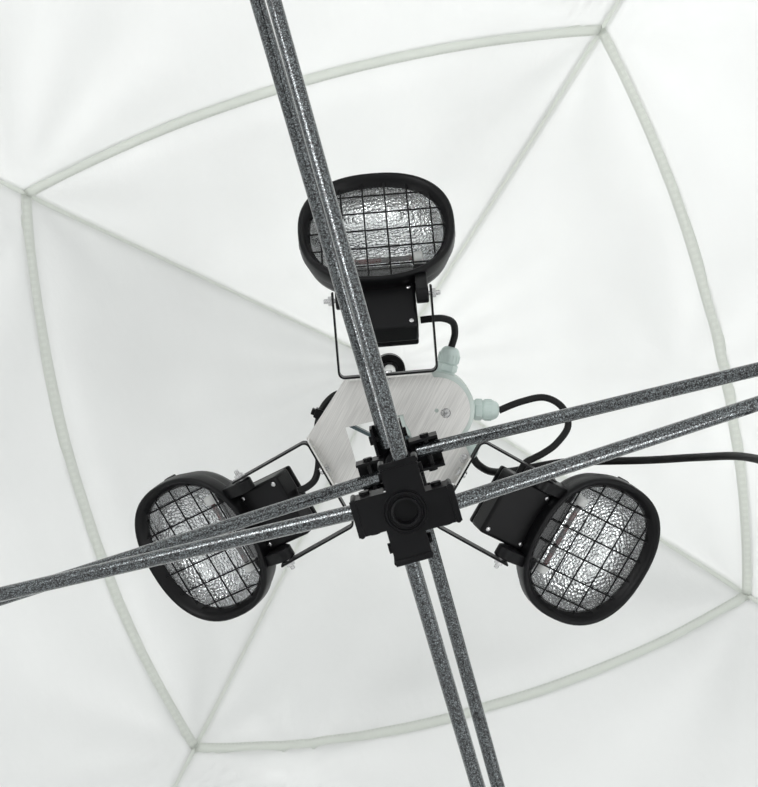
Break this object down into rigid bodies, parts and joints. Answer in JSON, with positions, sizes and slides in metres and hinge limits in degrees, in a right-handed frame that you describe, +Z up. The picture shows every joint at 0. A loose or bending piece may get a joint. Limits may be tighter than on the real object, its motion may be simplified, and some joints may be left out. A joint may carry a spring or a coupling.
{
  "type": "folding work tent with floodlights",
  "caption": "Square pop-up tent with a folding scissor frame, telescopic legs, a high white roof and a tilting floodlight cluster under its centre.",
  "frame": {"origin": "on the floor under the centre pole", "axes": "+Z up; the four arms of the frame lie along X and Y, and the supply cord leaves towards -X"},
  "size_m": [2.58, 2.58, 3.2],
  "materials": {
    "black_plastic": "satin moulded nylon",
    "hammered_tube": "silver speckled hammer finish on black",
    "leg_steel": "pale grey powder coat",
    "grey_tube": "pale grey",
    "white_fabric": "woven polyester, matt",
    "brushed_plate": "brushed",
    "dark_bracket": "satin",
    "black_strip": "semi-gloss powder coat",
    "box_plastic": "pale moulded plastic",
    "lamp_black": "hammered black enamel",
    "cable_rubber": "matt rubber sheath",
    "plug_plastic": "matt"
  },
  "bodies": {
    "head": {"upper_hub": "black_plastic", "centre_pole": "grey_tube", "peak_cup": "black_plastic", "canopy_ew": "white_fabric", "canopy_ns": "white_fabric", "light_plate": "brushed_plate", "pole_clamp": "dark_bracket", "lamp_yokes": "black_strip", "junction_box": "box_plastic", "lamp_leads": "cable_rubber", "supply_cord": "cable_rubber", "cord_plug": "plug_plastic"},
    "lower_hub": {"lower_hub": "black_plastic"},
    "arm_lower_e": {"arm_lower_e": "hammered_tube"},
    "arm_lower_n": {"arm_lower_n": "hammered_tube"},
    "arm_lower_w": {"arm_lower_w": "hammered_tube"},
    "arm_lower_s": {"arm_lower_s": "hammered_tube"},
    "arm_upper_e": {"arm_upper_e": "hammered_tube"},
    "arm_upper_n": {"arm_upper_n": "hammered_tube"},
    "arm_upper_w": {"arm_upper_w": "hammered_tube"},
    "arm_upper_s": {"arm_upper_s": "hammered_tube"},
    "mid_upper_e": {"mid_upper_e": "black_plastic"},
    "mid_upper_n": {"mid_upper_n": "black_plastic"},
    "mid_upper_w": {"mid_upper_w": "black_plastic"},
    "mid_upper_s": {"mid_upper_s": "black_plastic"},
    "mid_lower_e": {"mid_lower_e": "black_plastic"},
    "mid_lower_n": {"mid_lower_n": "black_plastic"},
    "mid_lower_w": {"mid_lower_w": "black_plastic"},
    "mid_lower_s": {"mid_lower_s": "black_plastic"},
    "side_rise_el": {"side_rise_el": "hammered_tube"},
    "side_rise_er": {"side_rise_er": "hammered_tube"},
    "side_rise_nl": {"side_rise_nl": "hammered_tube"},
    "side_rise_nr": {"side_rise_nr": "hammered_tube"},
    "side_rise_wl": {"side_rise_wl": "hammered_tube"},
    "side_rise_wr": {"side_rise_wr": "hammered_tube"},
    "side_rise_sl": {"side_rise_sl": "hammered_tube"},
    "side_rise_sr": {"side_rise_sr": "hammered_tube"},
    "side_fall_el": {"side_fall_el": "hammered_tube"},
    "side_fall_er": {"side_fall_er": "hammered_tube"},
    "side_fall_nl": {"side_fall_nl": "hammered_tube"},
    "side_fall_nr": {"side_fall_nr": "hammered_tube"},
    "side_fall_wl": {"side_fall_wl": "hammered_tube"},
    "side_fall_wr": {"side_fall_wr": "hammered_tube"},
    "side_fall_sl": {"side_fall_sl": "hammered_tube"},
    "side_fall_sr": {"side_fall_sr": "hammered_tube"},
    "leg_ne": {"leg_ne": "hammered_tube"},
    "leg_nw": {"leg_nw": "hammered_tube"},
    "leg_sw": {"leg_sw": "hammered_tube"},
    "leg_se": {"leg_se": "hammered_tube"},
    "slider_ne": {"slider_ne": "black_plastic"},
    "slider_nw": {"slider_nw": "black_plastic"},
    "slider_sw": {"slider_sw": "black_plastic"},
    "slider_se": {"slider_se": "black_plastic"},
    "inner_leg_ne": {"inner_leg_ne": "leg_steel"},
    "inner_leg_nw": {"inner_leg_nw": "leg_steel"},
    "inner_leg_sw": {"inner_leg_sw": "leg_steel"},
    "inner_leg_se": {"inner_leg_se": "leg_steel"},
    "lamp_1": {"lamp_1": "lamp_black"},
    "lamp_2": {"lamp_2": "lamp_black"},
    "lamp_3": {"lamp_3": "lamp_black"}
  },
  "joints": [
    {"name": "fold", "type": "hinge", "parent": "head", "child": "arm_upper_e", "pos_m": [0.036, -0.009, 2.05], "axis": [0, 1, 0], "range_deg": [0, 57]},
    {"name": "arm_cross_e", "type": "hinge", "parent": "arm_upper_e", "child": "arm_lower_e", "pos_m": [0.625, 0, 1.915], "axis": [0, 1, 0], "range_deg": [-114, 0]},
    {"name": "mid_upper_pivot_e", "type": "hinge", "parent": "arm_lower_e", "child": "mid_upper_e", "pos_m": [1.214, 0.009, 2.05], "axis": [0, 1, 0], "range_deg": [0, 57]},
    {"name": "mid_lower_pivot_e", "type": "hinge", "parent": "arm_upper_e", "child": "mid_lower_e", "pos_m": [1.214, -0.009, 1.78], "axis": [0, 1, 0], "range_deg": [-57, 0]},
    {"name": "lower_hub_pivot", "type": "hinge", "parent": "arm_lower_e", "child": "lower_hub", "pos_m": [0.036, 0.009, 1.78], "axis": [0, 1, 0], "range_deg": [0, 57]},
    {"name": "side_pivot_el", "type": "hinge", "parent": "mid_upper_e", "child": "side_fall_el", "pos_m": [1.25, 0.036, 2.05], "axis": [-1, 0, 0], "range_deg": [0, 57]},
    {"name": "side_cross_el", "type": "hinge", "parent": "side_fall_el", "child": "side_rise_el", "pos_m": [1.25, 0.625, 1.915], "axis": [-1, 0, 0], "range_deg": [-114, 0]},
    {"name": "leg_pivot_ne", "type": "hinge", "parent": "side_rise_el", "child": "leg_ne", "pos_m": [1.25, 1.214, 2.05], "axis": [-1, 0, 0], "range_deg": [0, 57]},
    {"name": "slider_pivot_ne", "type": "hinge", "parent": "side_fall_el", "child": "slider_ne", "pos_m": [1.25, 1.214, 1.78], "axis": [-1, 0, 0], "range_deg": [-57, 0]},
    {"name": "leg_slide_ne", "type": "slide", "parent": "leg_ne", "child": "inner_leg_ne", "axis": [0, 0, 1], "range_m": [0, 0.7]},
    {"name": "side_pivot_er", "type": "hinge", "parent": "mid_upper_e", "child": "side_fall_er", "pos_m": [1.25, -0.036, 2.05], "axis": [1, 0, 0], "range_deg": [0, 57]},
    {"name": "side_cross_er", "type": "hinge", "parent": "side_fall_er", "child": "side_rise_er", "pos_m": [1.25, -0.625, 1.915], "axis": [1, 0, 0], "range_deg": [-114, 0]},
    {"name": "hub_pivot_n", "type": "hinge", "parent": "head", "child": "arm_upper_n", "pos_m": [0.009, 0.036, 2.05], "axis": [-1, 0, 0], "range_deg": [0, 57]},
    {"name": "arm_cross_n", "type": "hinge", "parent": "arm_upper_n", "child": "arm_lower_n", "pos_m": [0, 0.625, 1.915], "axis": [-1, 0, 0], "range_deg": [-114, 0]},
    {"name": "mid_upper_pivot_n", "type": "hinge", "parent": "arm_lower_n", "child": "mid_upper_n", "pos_m": [-0.009, 1.214, 2.05], "axis": [-1, 0, 0], "range_deg": [0, 57]},
    {"name": "mid_lower_pivot_n", "type": "hinge", "parent": "arm_upper_n", "child": "mid_lower_n", "pos_m": [0.009, 1.214, 1.78], "axis": [-1, 0, 0], "range_deg": [-57, 0]},
    {"name": "side_pivot_nl", "type": "hinge", "parent": "mid_upper_n", "child": "side_fall_nl", "pos_m": [-0.036, 1.25, 2.05], "axis": [0, -1, 0], "range_deg": [0, 57]},
    {"name": "side_cross_nl", "type": "hinge", "parent": "side_fall_nl", "child": "side_rise_nl", "pos_m": [-0.625, 1.25, 1.915], "axis": [0, -1, 0], "range_deg": [-114, 0]},
    {"name": "leg_pivot_nw", "type": "hinge", "parent": "side_rise_nl", "child": "leg_nw", "pos_m": [-1.214, 1.25, 2.05], "axis": [0, -1, 0], "range_deg": [0, 57]},
    {"name": "slider_pivot_nw", "type": "hinge", "parent": "side_fall_nl", "child": "slider_nw", "pos_m": [-1.214, 1.25, 1.78], "axis": [0, -1, 0], "range_deg": [-57, 0]},
    {"name": "leg_slide_nw", "type": "slide", "parent": "leg_nw", "child": "inner_leg_nw", "axis": [0, 0, 1], "range_m": [0, 0.7]},
    {"name": "side_pivot_nr", "type": "hinge", "parent": "mid_upper_n", "child": "side_fall_nr", "pos_m": [0.036, 1.25, 2.05], "axis": [0, 1, 0], "range_deg": [0, 57]},
    {"name": "side_cross_nr", "type": "hinge", "parent": "side_fall_nr", "child": "side_rise_nr", "pos_m": [0.625, 1.25, 1.915], "axis": [0, 1, 0], "range_deg": [-114, 0]},
    {"name": "hub_pivot_w", "type": "hinge", "parent": "head", "child": "arm_upper_w", "pos_m": [-0.036, 0.009, 2.05], "axis": [0, -1, 0], "range_deg": [0, 57]},
    {"name": "arm_cross_w", "type": "hinge", "parent": "arm_upper_w", "child": "arm_lower_w", "pos_m": [-0.625, 0, 1.915], "axis": [0, -1, 0], "range_deg": [-114, 0]},
    {"name": "mid_upper_pivot_w", "type": "hinge", "parent": "arm_lower_w", "child": "mid_upper_w", "pos_m": [-1.214, -0.009, 2.05], "axis": [0, -1, 0], "range_deg": [0, 57]},
    {"name": "mid_lower_pivot_w", "type": "hinge", "parent": "arm_upper_w", "child": "mid_lower_w", "pos_m": [-1.214, 0.009, 1.78], "axis": [0, -1, 0], "range_deg": [-57, 0]},
    {"name": "side_pivot_wl", "type": "hinge", "parent": "mid_upper_w", "child": "side_fall_wl", "pos_m": [-1.25, -0.036, 2.05], "axis": [1, 0, 0], "range_deg": [0, 57]},
    {"name": "side_cross_wl", "type": "hinge", "parent": "side_fall_wl", "child": "side_rise_wl", "pos_m": [-1.25, -0.625, 1.915], "axis": [1, 0, 0], "range_deg": [-114, 0]},
    {"name": "leg_pivot_sw", "type": "hinge", "parent": "side_rise_wl", "child": "leg_sw", "pos_m": [-1.25, -1.214, 2.05], "axis": [1, 0, 0], "range_deg": [0, 57]},
    {"name": "slider_pivot_sw", "type": "hinge", "parent": "side_fall_wl", "child": "slider_sw", "pos_m": [-1.25, -1.214, 1.78], "axis": [1, 0, 0], "range_deg": [-57, 0]},
    {"name": "leg_slide_sw", "type": "slide", "parent": "leg_sw", "child": "inner_leg_sw", "axis": [0, 0, 1], "range_m": [0, 0.7]},
    {"name": "side_pivot_wr", "type": "hinge", "parent": "mid_upper_w", "child": "side_fall_wr", "pos_m": [-1.25, 0.036, 2.05], "axis": [-1, 0, 0], "range_deg": [0, 57]},
    {"name": "side_cross_wr", "type": "hinge", "parent": "side_fall_wr", "child": "side_rise_wr", "pos_m": [-1.25, 0.625, 1.915], "axis": [-1, 0, 0], "range_deg": [-114, 0]},
    {"name": "hub_pivot_s", "type": "hinge", "parent": "head", "child": "arm_upper_s", "pos_m": [-0.009, -0.036, 2.05], "axis": [1, 0, 0], "range_deg": [0, 57]},
    {"name": "arm_cross_s", "type": "hinge", "parent": "arm_upper_s", "child": "arm_lower_s", "pos_m": [0, -0.625, 1.915], "axis": [1, 0, 0], "range_deg": [-114, 0]},
    {"name": "mid_upper_pivot_s", "type": "hinge", "parent": "arm_lower_s", "child": "mid_upper_s", "pos_m": [0.009, -1.214, 2.05], "axis": [1, 0, 0], "range_deg": [0, 57]},
    {"name": "mid_lower_pivot_s", "type": "hinge", "parent": "arm_upper_s", "child": "mid_lower_s", "pos_m": [-0.009, -1.214, 1.78], "axis": [1, 0, 0], "range_deg": [-57, 0]},
    {"name": "side_pivot_sl", "type": "hinge", "parent": "mid_upper_s", "child": "side_fall_sl", "pos_m": [0.036, -1.25, 2.05], "axis": [0, 1, 0], "range_deg": [0, 57]},
    {"name": "side_cross_sl", "type": "hinge", "parent": "side_fall_sl", "child": "side_rise_sl", "pos_m": [0.625, -1.25, 1.915], "axis": [0, 1, 0], "range_deg": [-114, 0]},
    {"name": "leg_pivot_se", "type": "hinge", "parent": "side_rise_sl", "child": "leg_se", "pos_m": [1.214, -1.25, 2.05], "axis": [0, 1, 0], "range_deg": [0, 57]},
    {"name": "slider_pivot_se", "type": "hinge", "parent": "side_fall_sl", "child": "slider_se", "pos_m": [1.214, -1.25, 1.78], "axis": [0, 1, 0], "range_deg": [-57, 0]},
    {"name": "leg_slide_se", "type": "slide", "parent": "leg_se", "child": "inner_leg_se", "axis": [0, 0, 1], "range_m": [0, 0.7]},
    {"name": "side_pivot_sr", "type": "hinge", "parent": "mid_upper_s", "child": "side_fall_sr", "pos_m": [-0.036, -1.25, 2.05], "axis": [0, -1, 0], "range_deg": [0, 57]},
    {"name": "side_cross_sr", "type": "hinge", "parent": "side_fall_sr", "child": "side_rise_sr", "pos_m": [-0.625, -1.25, 1.915], "axis": [0, -1, 0], "range_deg": [-114, 0]},
    {"name": "tilt_1", "type": "hinge", "parent": "head", "child": "lamp_1", "pos_m": [-0.03168, 0.19056, 2.149], "axis": [0.9816, 0.1908, 0], "range_deg": [-45, 20], "deforming": ["lamp_leads", "supply_cord"]},
    {"name": "tilt_2", "type": "hinge", "parent": "head", "child": "lamp_2", "pos_m": [0.18544, -0.03824, 2.149], "axis": [-0.2419, -0.9703, 0], "range_deg": [-32, 22], "deforming": ["lamp_leads", "supply_cord"]},
    {"name": "tilt_3", "type": "hinge", "parent": "head", "child": "lamp_3", "pos_m": [-0.12823, -0.12523, 2.149], "axis": [-0.7071, 0.7071, 0], "range_deg": [-25, 10], "deforming": ["lamp_leads", "supply_cord"]}
  ],
  "couplings": [
    {"joint": "arm_cross_e", "follows": "fold", "ratio": -2},
    {"joint": "mid_upper_pivot_e", "follows": "fold", "ratio": 1},
    {"joint": "mid_lower_pivot_e", "follows": "fold", "ratio": -1},
    {"joint": "lower_hub_pivot", "follows": "fold", "ratio": 1},
    {"joint": "side_pivot_el", "follows": "fold", "ratio": 1},
    {"joint": "side_cross_el", "follows": "fold", "ratio": -2},
    {"joint": "leg_pivot_ne", "follows": "fold", "ratio": 1},
    {"joint": "slider_pivot_ne", "follows": "fold", "ratio": -1},
    {"joint": "side_pivot_er", "follows": "fold", "ratio": 1},
    {"joint": "side_cross_er", "follows": "fold", "ratio": -2},
    {"joint": "hub_pivot_n", "follows": "fold", "ratio": 1},
    {"joint": "arm_cross_n", "follows": "fold", "ratio": -2},
    {"joint": "mid_upper_pivot_n", "follows": "fold", "ratio": 1},
    {"joint": "mid_lower_pivot_n", "follows": "fold", "ratio": -1},
    {"joint": "side_pivot_nl", "follows": "fold", "ratio": 1},
    {"joint": "side_cross_nl", "follows": "fold", "ratio": -2},
    {"joint": "leg_pivot_nw", "follows": "fold", "ratio": 1},
    {"joint": "slider_pivot_nw", "follows": "fold", "ratio": -1},
    {"joint": "side_pivot_nr", "follows": "fold", "ratio": 1},
    {"joint": "side_cross_nr", "follows": "fold", "ratio": -2},
    {"joint": "hub_pivot_w", "follows": "fold", "ratio": 1},
    {"joint": "arm_cross_w", "follows": "fold", "ratio": -2},
    {"joint": "mid_upper_pivot_w", "follows": "fold", "ratio": 1},
    {"joint": "mid_lower_pivot_w", "follows": "fold", "ratio": -1},
    {"joint": "side_pivot_wl", "follows": "fold", "ratio": 1},
    {"joint": "side_cross_wl", "follows": "fold", "ratio": -2},
    {"joint": "leg_pivot_sw", "follows": "fold", "ratio": 1},
    {"joint": "slider_pivot_sw", "follows": "fold", "ratio": -1},
    {"joint": "side_pivot_wr", "follows": "fold", "ratio": 1},
    {"joint": "side_cross_wr", "follows": "fold", "ratio": -2},
    {"joint": "hub_pivot_s", "follows": "fold", "ratio": 1},
    {"joint": "arm_cross_s", "follows": "fold", "ratio": -2},
    {"joint": "mid_upper_pivot_s", "follows": "fold", "ratio": 1},
    {"joint": "mid_lower_pivot_s", "follows": "fold", "ratio": -1},
    {"joint": "side_pivot_sl", "follows": "fold", "ratio": 1},
    {"joint": "side_cross_sl", "follows": "fold", "ratio": -2},
    {"joint": "leg_pivot_se", "follows": "fold", "ratio": 1},
    {"joint": "slider_pivot_se", "follows": "fold", "ratio": -1},
    {"joint": "side_pivot_sr", "follows": "fold", "ratio": 1},
    {"joint": "side_cross_sr", "follows": "fold", "ratio": -2}
  ]
}
